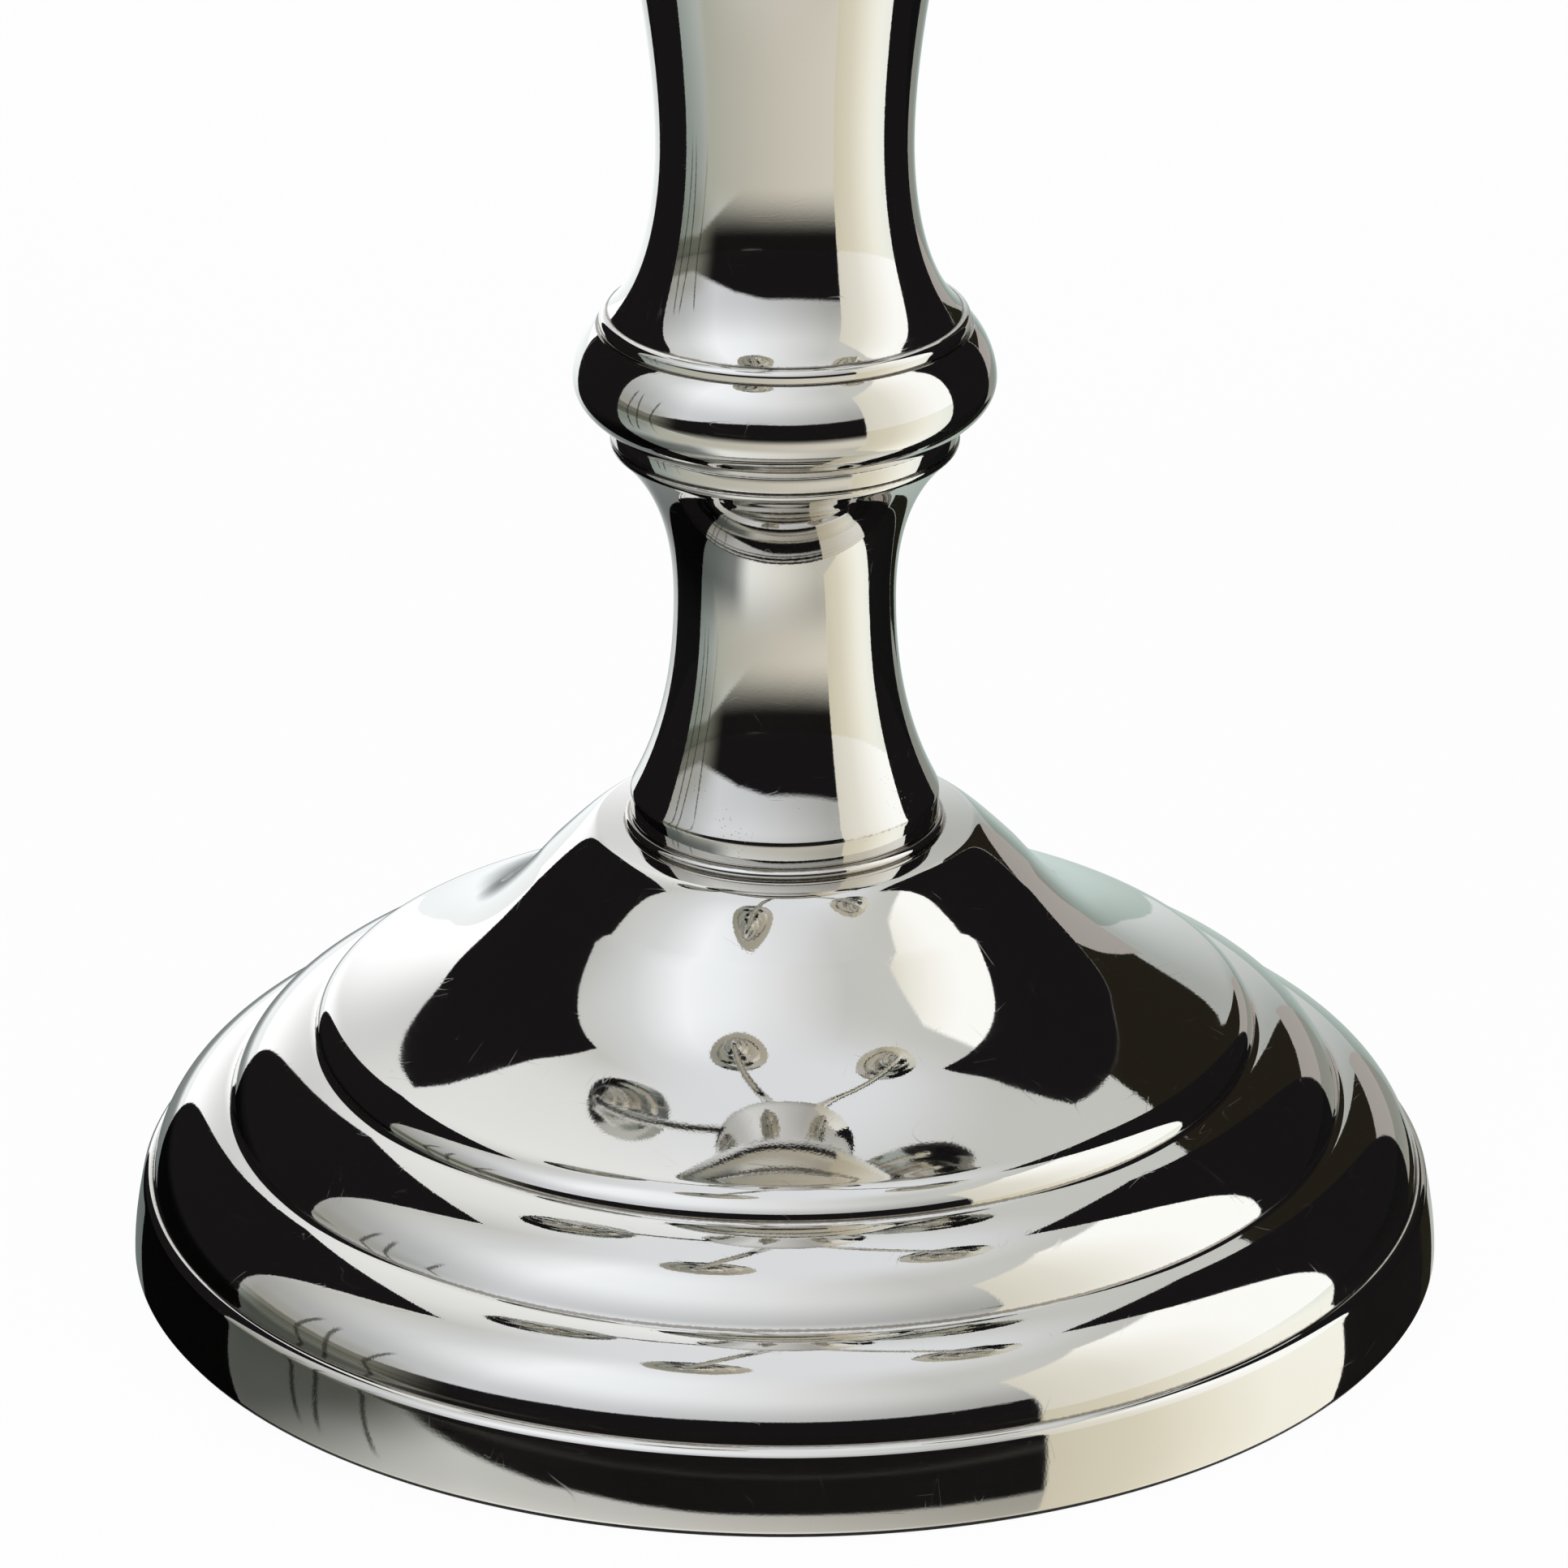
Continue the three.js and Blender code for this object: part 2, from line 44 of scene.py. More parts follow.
photoSide = 1932  # the photograph is square


# Helpers

def clearSelection():
    if bpy.context.object and bpy.context.object.mode != "OBJECT":
        bpy.ops.object.mode_set(mode="OBJECT")
    bpy.ops.object.select_all(action="DESELECT")


def pick(piece):
    clearSelection()
    piece.select_set(True)
    bpy.context.view_layer.objects.active = piece


def drawCurve(name, places, handles, smoothness):
    # places are in millimetres; handles is {i: (first, second)} for the bends that leave place i,
    # and a stretch without handles is straight
    clearSelection()
    bpy.ops.curve.primitive_bezier_curve_add(location=(0, 0, 0))
    drawn = bpy.context.object
    drawn.name = name
    curve = drawn.data
    curve.dimensions = "3D"
    curve.resolution_u = smoothness
    curve.splines.clear()
    spline = curve.splines.new("BEZIER")
    spline.bezier_points.add(len(places) - 1)
    for point, (x, z) in zip(spline.bezier_points, places):
        point.co = (x * mm, 0, z * mm)
        point.handle_left_type = point.handle_right_type = "VECTOR"
    for i, (first, second) in handles.items():
        here, there = spline.bezier_points[i], spline.bezier_points[i + 1]
        here.handle_right_type = there.handle_left_type = "FREE"
        here.handle_right = (first[0] * mm, 0, first[1] * mm)
        there.handle_left = (second[0] * mm, 0, second[1] * mm)
    return drawn


def drawOutline(name, runs, smoothness):
    # a closed half section; a run is (r, z) for a straight line there, or (r, z, first, second)
    # for a bend, whose handles are each a share of the way across and a share of the way up
    places = [run[:2] for run in runs] + [runs[0][:2]]
    handles = {}
    for i, run in enumerate(runs[1:]):
        if len(run) == 4:
            (r0, z0), (r1, z1) = places[i], places[i + 1]
            handles[i] = [(r0 + (r1 - r0) * a, z0 + (z1 - z0) * b) for a, b in run[2:]]
    drawCurve(name, places, handles, smoothness)
    bpy.ops.object.convert(target="MESH")
    return bpy.context.object


def roundCorners(piece, corners):
    # corners is [(size, r, z), ...] in millimetres
    for size, r, z in corners:
        bpy.ops.object.mode_set(mode="EDIT")
        bpy.ops.mesh.select_all(action="DESELECT")
        bpy.ops.object.mode_set(mode="OBJECT")
        for vertex in piece.data.vertices:
            vertex.select = math.hypot(vertex.co.x - r * mm, vertex.co.z - z * mm) < 0.01 * mm
        bpy.ops.object.mode_set(mode="EDIT")
        bpy.ops.mesh.remove_doubles(threshold=0.001 * mm)
        bpy.ops.mesh.bevel(offset=size * mm, segments=4, affect="VERTICES")
        bpy.ops.object.mode_set(mode="OBJECT")


def turnPiece(name, runs, corners=(), steps=256, smoothness=20):
    piece = drawOutline(name, runs, smoothness)
    roundCorners(piece, corners)
    bpy.ops.object.mode_set(mode="EDIT")
    bpy.ops.mesh.select_all(action="SELECT")
    bpy.ops.mesh.spin(steps=steps, angle=2 * math.pi, center=(0, 0, 0), axis=(0, 0, 1))
    bpy.ops.mesh.select_all(action="SELECT")
    bpy.ops.mesh.remove_doubles(threshold=0.002 * mm)
    bpy.ops.mesh.normals_make_consistent(inside=False)
    bpy.ops.object.mode_set(mode="OBJECT")
    smoothPiece(piece)
    return piece


def smoothPiece(piece):
    pick(piece)
    bpy.ops.object.shade_smooth_by_angle(angle=math.radians(34))


def applyModifier(piece, kind, **settings):
    pick(piece)
    modifier = piece.modifiers.new(kind.lower(), kind)
    for key, value in settings.items():
        setattr(modifier, key, value)
    bpy.ops.object.modifier_apply(modifier=modifier.name)


def cutWith(piece, tool, operation="DIFFERENCE"):
    applyModifier(piece, "BOOLEAN", object=tool, operation=operation, solver="EXACT")
    bpy.data.objects.remove(tool)


def place(piece, x=0.0, z=0.0, turn=0.0):
    # moves a piece out along X, turns it round the stem and bakes the place into its mesh
    pick(piece)
    bpy.ops.transform.translate(value=(x * mm, 0, z * mm))
    bpy.ops.object.transform_apply(location=True, rotation=True, scale=True)
    piece.rotation_euler.z = turn
    bpy.ops.object.transform_apply(location=True, rotation=True, scale=True)


def copyPiece(piece, name):
    pick(piece)
    bpy.ops.object.duplicate(linked=False)
    bpy.context.object.name = name
    return bpy.context.object


def halfRound(outside, bottom, top):
    # a half-round edge, from the bottom face up to the top face
    inset = outside - (top - bottom) / 2
    return [
        (inset, bottom),
        (outside, (bottom + top) / 2, (0.55, 0.0), (1.0, 0.45)),
        (inset, top, (0.0, 0.55), (0.45, 1.0)),
    ]


def extent(node):
    # lowest and highest z and the widest x of a node, in millimetres
    low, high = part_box(node)
    return low.z / mm, high.z / mm, high.x / mm


def finishPiece(piece, body, slot, material, *nodes):
    piece.data.materials.clear()
    piece.data.materials.append(material)
    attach(piece, body)
    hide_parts(*nodes)
    print("made", piece.name, len(piece.data.polygons), "faces")


# Foot, with the felt under it

foot = {
    "wall": 1.3,
    "bandTop": (59.6, 7.3),
    "firstCrease": (58.6, 8.1),
    "outerOvolo": (51.3, 15.4),
    "secondCrease": (51.2, 15.5),
    "innerOvolo": (43.35, 21.95),
    "thirdCrease": (43.25, 22.05),
    "roll": (40.9, 24.6),
    "bellFoot": (31.75, 28.65),
    "shoulder": (22.6, 37.2),
    "landRadius": 17.1,
    "rodHole": 4.3,
    "rimEdge": 0.25,
    "creaseRound": 0.08,
}


def makeFootShell():
    rimFoot, land, rim = extent("foot_shell")
    wall, hole = foot["wall"], foot["rodHole"]
    runs = [
        (rim - wall, rimFoot),
        (rim, rimFoot),
        (*foot["bandTop"], (0.0, 0.33), (0.47, 0.67)),
        (*foot["firstCrease"], (0.1, 0.5), (0.45, 1.0)),
        (*foot["outerOvolo"], (0.065, 0.51), (0.476, 0.893)),
        foot["secondCrease"],
        (*foot["innerOvolo"], (0.16, 0.52), (0.50, 0.84)),
        foot["thirdCrease"],
        (*foot["roll"], (0.03, 0.42), (0.39, 0.818)),
        (*foot["bellFoot"], (0.27, 0.198), (0.687, 0.594)),
        (*foot["shoulder"], (0.325, 0.202), (0.616, 0.498)),
        (foot["landRadius"], land, (0.384, 0.449), (0.84, 0.969)),
        (hole, land),
        (hole, land - wall),
        (foot["landRadius"], land - wall),
    ]
    for key in ("shoulder", "bellFoot", "roll", "thirdCrease", "secondCrease", "firstCrease"):
        r, z = foot[key]
        runs.append((r - wall, z - wall))
    runs.append((rim - wall, foot["bandTop"][1] - 2 * wall))
    corners = [(foot["rimEdge"], rim, rimFoot), (foot["creaseRound"], *foot["firstCrease"])]
    return turnPiece("footShell", runs, corners, steps=320)


felt = {"hole": 12.0, "edge": 0.15, "show": 0.45, "inside": 58.4}


def makeFelt():
    low, high, rim = extent("felt_pad")
    hole, inside, step = felt["hole"], felt["inside"], low + felt["show"]
    runs = [(hole, low), (rim, low), (rim, step), (inside, step), (inside, high), (hole, high)]
    corners = [(felt["edge"], rim, low), (felt["edge"], inside, high)]
    return turnPiece("feltPad", runs, corners, steps=192)


# Pieces threaded on the rod

stack = {
    "hole": 4.3,
    "spoolFoot": 14.1,
    "spoolBand": 2.4,
    "spoolWaist": (10.05, 21.1),  # radius, and height above the spool's foot
    "spoolTopEdge": 0.55,
    "spoolEdge": 0.3,
    "collarEdge": 0.25,
    "knopFoot": 15.75,
    "knopGirth": 4.0,
    "knopTop": 16.9,
    "lip": 16.6,
    "lipHeight": 1.35,
    "lipRound": 0.75,
    "stemWaist": (11.46, 17.15),
    "recess": 13.16,
    "recessDepth": 14.0,
    "mouthEdge": 0.5,
}


def makeSeatingRing():
    low, high, outside = extent("seating_ring")
    runs = [(stack["hole"], low), *halfRound(outside, low, high), (stack["hole"], high)]
    return turnPiece("seatingRing", runs, smoothness=8)


def makeSpool():
    low, high, top = extent("spool")
    bandTop = low + stack["spoolBand"]
    waist, waistHeight = stack["spoolWaist"]
    runs = [
        (stack["hole"], low),
        (stack["spoolFoot"], low),
        (stack["spoolFoot"], bandTop),
        (waist, low + waistHeight, (0.759, 0.319), (1.0, 0.649)),
        (top, high - stack["spoolTopEdge"], (0.0, 0.388), (0.225, 0.741)),
        (top, high),
        (stack["hole"], high),
    ]
    corners = [(stack["spoolEdge"], stack["spoolFoot"], z) for z in (low, bandTop)]
    corners += [(stack["spoolEdge"], top, high - stack["spoolTopEdge"]), (0.2, top, high)]
    return turnPiece("spoolStem", runs, corners)


def makeCollar():
    low, high, outside = extent("collar_disc")
    runs = [(stack["hole"], low), (outside, low), (outside, high), (stack["hole"], high)]
    corners = [(stack["collarEdge"], outside, z) for z in (low, high)]
    return turnPiece("collarDisc", runs, corners)


def makeKnop():
    low, high, girth = extent("knop")
    runs = [
        (stack["hole"], low),
        (stack["knopFoot"], low),
        (girth, low + stack["knopGirth"], (0.46, 0.245), (1.0, 0.52)),
        (stack["knopTop"], high, (0.0, 0.35), (0.45, 0.77)),
        (stack["hole"], high),
    ]
    return turnPiece("knopRing", runs)


def makeUpperStem():
    low, high, mouth = extent("upper_stem")
    edge, lipTop, lipRound = stack["mouthEdge"], low + stack["lipHeight"], stack["lipRound"]
    waist, waistHeight = stack["stemWaist"]
    runs = [
        (stack["hole"], low),
        (stack["lip"], low),
        (stack["lip"], lipTop - lipRound),
        (stack["lip"] - lipRound, lipTop, (0.0, 0.55), (0.45, 1.0)),
        (waist, low + waistHeight, (0.63, 0.16), (1.0, 0.535)),
        (mouth, high - edge, (0.0, 0.295), (0.47, 0.827)),
        (mouth - edge, high, (0.0, 0.55), (0.45, 1.0)),
        (stack["recess"], high),
        (stack["recess"], high - stack["recessDepth"]),
        (stack["hole"], high - stack["recessDepth"]),
    ]
    return turnPiece("upperStem", runs, [(0.2, stack["lip"], low)])


# Hub in the mouth, with the finial that closes the rod

hub = {
    "plug": 12.86,
    "plugLength": 12.0,
    "flangeHeight": 4.5,
    "flangeEdge": 0.5,
    "domeRadius": 15.0,
    "hole": 4.3,
    "armHole": 3.3,
    "armCircle": 11.0,
    "armDepth": 5.3,
}
finial = {
    "footRadius": 6.8,
    "footHeight": 2.2,
    "neck": 5.4,
    "ball": 7.0,
    "hole": 4.3,
    "holeDepth": 8.0,
    "edge": 0.3,
}
armTurns = [math.radians(a) for a in (-90, 0, 90, 180)]


def makeHub():
    low, high, flange = extent("branch_hub")
    mouth = low + hub["plugLength"]
    flangeTop, edge = mouth + hub["flangeHeight"], hub["flangeEdge"]
    runs = [
        (hub["hole"], low),
        (hub["plug"], low),
        (hub["plug"], mouth),
        (flange, mouth),
        (flange, flangeTop - edge),
        (flange - edge, flangeTop, (0.0, 0.55), (0.45, 1.0)),
        (hub["domeRadius"], high, (0.67, 0.0), (1.0, 0.33)),
        (hub["hole"], high),
    ]
    corners = [(0.3, flange, mouth), (0.4, hub["domeRadius"], high)]
    piece = turnPiece("branchHub", runs, corners)
    for turn in armTurns:
        clearSelection()
        depth = 2 * hub["armDepth"]
        bpy.ops.mesh.primitive_cylinder_add(vertices=64, radius=hub["armHole"] * mm, depth=depth * mm)
        drill = bpy.context.object
        place(drill, hub["armCircle"], high, turn)
        cutWith(piece, drill)
    smoothPiece(piece)
    return piece


def makeFinial():
    low, high, _ = extent("finial")
    footTop = low + finial["footHeight"]
    neck, ball = finial["neck"], finial["ball"]
    centre = footTop + math.sqrt(ball**2 - neck**2)
    runs = [
        (finial["hole"], low),
        (finial["footRadius"], low),
        (finial["footRadius"], footTop),
        (neck, footTop),
        (ball, centre, (0.62, 0.42), (1.0, 0.62)),
        (0.0, centre + ball, (0.0, 0.55), (0.45, 1.0)),
        (0.0, low + finial["holeDepth"]),
        (finial["hole"], low + finial["holeDepth"]),
    ]
    corners = [(finial["edge"], finial["footRadius"], z) for z in (low, footTop)]
    return turnPiece("finialNut", runs, corners, steps=96)


# Branches: an arm, a socket and a lift-off nozzle, each modelled once on the +X side

arm = {
    "radius": 3.0,
    "root": 11.0,
    "reach": 111.0,
    "depth": 5.0,
    "stub": 4.0,
    "turnAcross": 0.47,
    "turnUp": 0.66,
    "leanAcross": 0.2,
    "leanUp": 0.13,
    "footPull": 0.42,
    "endPull": 0.33,
    "seatRadius": 4.8,
    "seatHeight": 2.4,
    "tipRadius": 2.5,
}


def makeArm():
    low, tip, _ = extent("arm_2")
    seatTop = extent("socket_2")[0]
    exitHeight = low + arm["depth"] + arm["stub"]
    seat = seatTop - arm["seatHeight"]
    rise, reach = seat - exitHeight, arm["reach"]
    turn = (reach * arm["turnAcross"], exitHeight + rise * arm["turnUp"])
    lean = (reach * arm["leanAcross"], rise * arm["leanUp"])
    places = [(arm["root"], low), (arm["root"], exitHeight), turn, (reach, seat)]
    handles = {
        1: ((arm["root"], exitHeight + rise * arm["footPull"]), (turn[0] - lean[0], turn[1] - lean[1])),
        2: ((turn[0] + lean[0], turn[1] + lean[1]), (reach, seat - rise * arm["endPull"])),
    }
    rod = drawCurve("arm", places, handles, smoothness=40)
    rod.data.bevel_depth = arm["radius"] * mm
    rod.data.bevel_resolution = 10
    rod.data.use_fill_caps = True
    bpy.ops.object.convert(target="MESH")
    rod = bpy.context.object
    cup = [
        (0.0, seat - 2.0),
        (arm["radius"], seat - 2.0),
        (arm["seatRadius"], seat + 0.6, (0.0, 0.6), (0.6, 1.0)),
        (arm["seatRadius"], seatTop),
        (arm["tipRadius"], seatTop),
        (arm["tipRadius"], tip),
        (0.0, tip),
    ]
    corners = [(0.3, arm["seatRadius"], seatTop), (0.4, arm["tipRadius"], tip)]
    seatCup = turnPiece("seatCup", cup, corners, steps=64, smoothness=8)
    place(seatCup, arm["reach"])
    cutWith(rod, seatCup, "UNION")
    smoothPiece(rod)
    return rod


socket = {
    "foot": 5.6,
    "bellyHeight": 10.0,
    "outside": 14.1,
    "inside": 12.6,
    "floor": 6.0,
    "hole": 2.8,
    "bandHeight": 4.0,
    "bandWidth": 1.4,
    "bandSlope": 1.3,
}


def makeSocket():
    low, high, _ = extent("socket_2")
    outside, inside = socket["outside"], socket["inside"]
    band = outside + socket["bandWidth"]
    bandFoot = high - socket["bandHeight"]
    runs = [
        (socket["hole"], low),
        (socket["foot"], low),
        (outside, low + socket["bellyHeight"], (0.2, 0.55), (1.0, 0.2)),
        (outside, bandFoot),
        (band, bandFoot + socket["bandSlope"], (0.1, 0.6), (0.5, 1.0)),
        (band, high),
        (inside, high),
        (inside, low + socket["floor"]),
        (socket["hole"], low + socket["floor"]),
    ]
    corners = [
        (0.4, socket["foot"], low),
        (0.3, band, bandFoot + socket["bandSlope"]),
        (0.5, band, high),
        (0.2, inside, high),
    ]
    piece = turnPiece("socket", runs, corners, steps=128)
    place(piece, arm["reach"])
    return piece


nozzle = {
    "tubeOutside": 12.3,
    "tubeInside": 11.2,
    "lipRise": 5.0,
    "rest": 15.3,
    "bowl": 24.5,
    "bowlDepth": 4.2,
    "flangeRise": 0.9,
    "sheet": 1.1,
    "edge": 0.45,
}


def makeNozzle():
    low, high, outside = extent("nozzle_2")
    rest = extent("socket_2")[1]
    pan = outside - arm["reach"]
    sheet, edge = nozzle["sheet"], nozzle["edge"]
    tubeOut, tubeIn, tubeLip = nozzle["tubeOutside"], nozzle["tubeInside"], rest + nozzle["lipRise"]
    bowl, bowlTop = nozzle["bowl"], rest + nozzle["bowlDepth"]
    panLow = bowlTop + nozzle["flangeRise"]
    runs = [
        (0.0, low),
        (tubeOut, low),
        (tubeOut, rest),
        (nozzle["rest"], rest),
        (bowl, bowlTop, (0.54, 0.09), (0.86, 0.43)),
        (pan, panLow),
        (pan, high),
        (bowl - edge, bowlTop + sheet),
        (nozzle["rest"], rest + sheet, (0.18, 0.6), (0.5, 0.94)),
        (tubeOut, rest + sheet),
        (tubeOut, tubeLip),
        (tubeIn, tubeLip),
        (tubeIn, low + sheet),
        (0.0, low + sheet),
    ]
    corners = [
        (0.6, tubeOut, low),
        (edge, pan, panLow),
        (edge, pan, high),
        (edge, tubeOut, tubeLip),
        (edge, tubeIn, tubeLip),
        (0.8, tubeOut, rest + sheet),
        (0.6, tubeIn, low + sheet),
    ]
    piece = turnPiece("nozzle", runs, corners, steps=192)
    place(piece, arm["reach"])
    return piece


# Camera

def makeCamera():
    view = {
        "focalPixels": 9738.3,
        "distance": 664.9,
        "height": 324.3,
        "pitchDown": 0.3971,
        "axisPixel": 967,
    }
    swing = math.radians(studio["swing"])
    across = view["distance"] * math.sin(swing) * mm
    back = -view["distance"] * math.cos(swing) * mm
    turn = (math.pi / 2 - view["pitchDown"], 0, swing)
    bpy.ops.object.camera_add(location=(across, back, view["height"] * mm), rotation=turn)
    camera = bpy.context.object
    camera.data.sensor_width = 36
    camera.data.lens = view["focalPixels"] * 36 / photoSide
    camera.data.shift_x = -(view["axisPixel"] - photoSide / 2) / photoSide
    camera.data.clip_start = 0.01
    camera.data.clip_end = 50
    bpy.context.scene.camera = camera


# Finishes

class Nodes:
    # a new node tree, with short calls for the nodes that the finishes and the studio share
    def __init__(self, name, world=None):
        owner = world or bpy.data.materials.new(name)
        owner.use_nodes = True
        self.owner = owner
        self.tree = owner.node_tree
        self.tree.nodes.clear()
        kind = "ShaderNodeOutputWorld" if world else "ShaderNodeOutputMaterial"
        self.out = self.tree.nodes.new(kind)

    def add(self, kind, inputs=None, **settings):
        node = self.tree.nodes.new(kind)
        for key, value in settings.items():
            setattr(node, key, value)
        for key, value in (inputs or {}).items():
            self.put(node.inputs[key], value)
        return node

    def put(self, socket, value):
        if isinstance(value, bpy.types.NodeSocket):
            self.tree.links.new(value, socket)
        else:
            socket.default_value = value

    def math(self, operation, *values):
        inputs = dict(enumerate(values))
        return self.add("ShaderNodeMath", inputs, operation=operation).outputs[0]

    def spread(self, value, low, high, toLow=0.0, toHigh=1.0, smooth=True):
        # carries a value from one span to another, and holds it at the ends
        inputs = {0: value, 1: low, 2: high, 3: toLow, 4: toHigh}
        kind = "SMOOTHSTEP" if smooth else "LINEAR"
        return self.add("ShaderNodeMapRange", inputs, interpolation_type=kind).outputs[0]

    def blend(self, share, first, second, kind="MIX"):
        node = self.add("ShaderNodeMix", data_type="RGBA", blend_type=kind)
        self.put(node.inputs[0], share)
        self.put(node.inputs[6], first)
        self.put(node.inputs[7], second)
        return node.outputs[2]

    def ramp(self, value, stops):
        node = self.add("ShaderNodeValToRGB", {0: value})
        marks = node.color_ramp.elements
        while len(marks) < len(stops):
            marks.new(1.0)
        for mark, (position, colour) in zip(marks, stops):
            mark.position = position
            mark.color = colour
        return node.outputs[0]

    def noise(self, vector, scale, detail=3.0, roughness=0.5, w=None):
        inputs = {"Vector": vector, "Scale": scale, "Detail": detail, "Roughness": roughness}
        if w is None:
            return self.add("ShaderNodeTexNoise", inputs).outputs[0]
        inputs["W"] = w
        return self.add("ShaderNodeTexNoise", inputs, noise_dimensions="4D").outputs[0]

    def scratches(self, vector):
        # thin lines where stretched noise crosses its middle, broken up by a patchy noise
        total = 0.0
        for lean, stretch, seed in nickel["scratchSets"]:
            turn = {"Vector": vector, "Rotation": (lean, seed, lean), "Scale": stretch}
            turned = self.add("ShaderNodeMapping", turn).outputs[0]
            field = self.noise(turned, nickel["scratchScale"], detail=1.0)
            off = self.math("ABSOLUTE", self.math("SUBTRACT", field, 0.5))
            thin = self.spread(off, 0.0, nickel["scratchWidth"], 1.0, 0.0)
            patch = self.noise(vector, 140.0 + 20.0 * seed, detail=1.0)
            line = self.math("MULTIPLY", thin, self.spread(patch, *nickel["scratchPatch"]))
            total = self.math("ADD", total, line)
        return self.math("MINIMUM", total, 1.0)

    def bump(self, height, depth, normal=None):
        inputs = {"Height": height, "Distance": depth, "Strength": 1.0}
        if normal:
            inputs["Normal"] = normal
        return self.add("ShaderNodeBump", inputs).outputs[0]

    def azimuth(self):
        # degrees round the holder, 0 towards the camera and more to its right
        place = self.add("ShaderNodeTexCoord").outputs["Object"]
        turn = {"Vector": place, "Rotation": (0.0, 0.0, -math.radians(studio["swing"]))}
        turned = self.add("ShaderNodeMapping", turn).outputs[0]
        parts = self.add("ShaderNodeSeparateXYZ", {0: turned}).outputs
        ahead = self.math("MULTIPLY", parts[1], -1.0)
        return self.math("DEGREES", self.math("ARCTAN2", parts[0], ahead))

    def roundRamp(self, azimuth, stops):
        # colours that change round the holder; a stop is (degrees, colour)
        around = self.spread(azimuth, -180.0, 180.0, smooth=False)
        return self.ramp(around, [((degrees + 180) / 360, colour) for degrees, colour in stops])

    def finish(self, shader, socket="Surface"):
        self.tree.links.new(shader.outputs[0], self.out.inputs[socket])
        return self.owner


nickel = {
    "colour": (0.66, 0.64, 0.605, 1.0),
    "roughness": (0.015, 0.05),
    "cloud": (0.60, 0.57, 0.51, 1.0),
    "cloudScale": 60.0,
    "cloudSpread": (0.45, 0.8, 0.0, 0.12),
    "cloudRough": 0.6,  # share of the roughness that follows the clouds, the rest the lines
    "roughSpread": (0.3, 0.75),
    "peelSize": 0.24,  # mm, the fine wobble of the plating
    "peelDepth": 0.0009,
    "waveSize": 4.0,
    "waveDepth": 0.005,
    "linesAcross": 2600.0,
    "linesUp": 3100.0,
    "lineDepth": 0.0003,
    # each set of scratches is (lean, stretch, seed)
    "scratchSets": (
        (0.6, (9.0, 1.0, 1.0), 3.1),
        (-0.9, (1.0, 7.0, 1.0), 8.4),
        (0.2, (1.0, 1.0, 8.0), 5.7),
    ),
    "scratchScale": 60.0,
    "scratchWidth": 0.004,
    "scratchPatch": (0.56, 0.66),
    "scratchDepth": 0.0006,
    "scratchRough": 0.12,
    "stain": (0.13, 0.10, 0.07, 1.0),
    "scuffScale": 2500.0,
    "creaseWidth": 0.26,
    "creaseStrength": 0.7,
    "creaseRough": 0.2,
}
pitting = {
    "colour": (0.20, 0.16, 0.11, 1.0),
    "scale": 2600.0,
    "dot": (0.10, 0.22, 1.0, 0.0),
    "patchScale": 220.0,
    "patch": (0.52, 0.66),
    "heights": (46.5, 52.0),
    "strength": 0.8,
    "rough": 0.3,
}


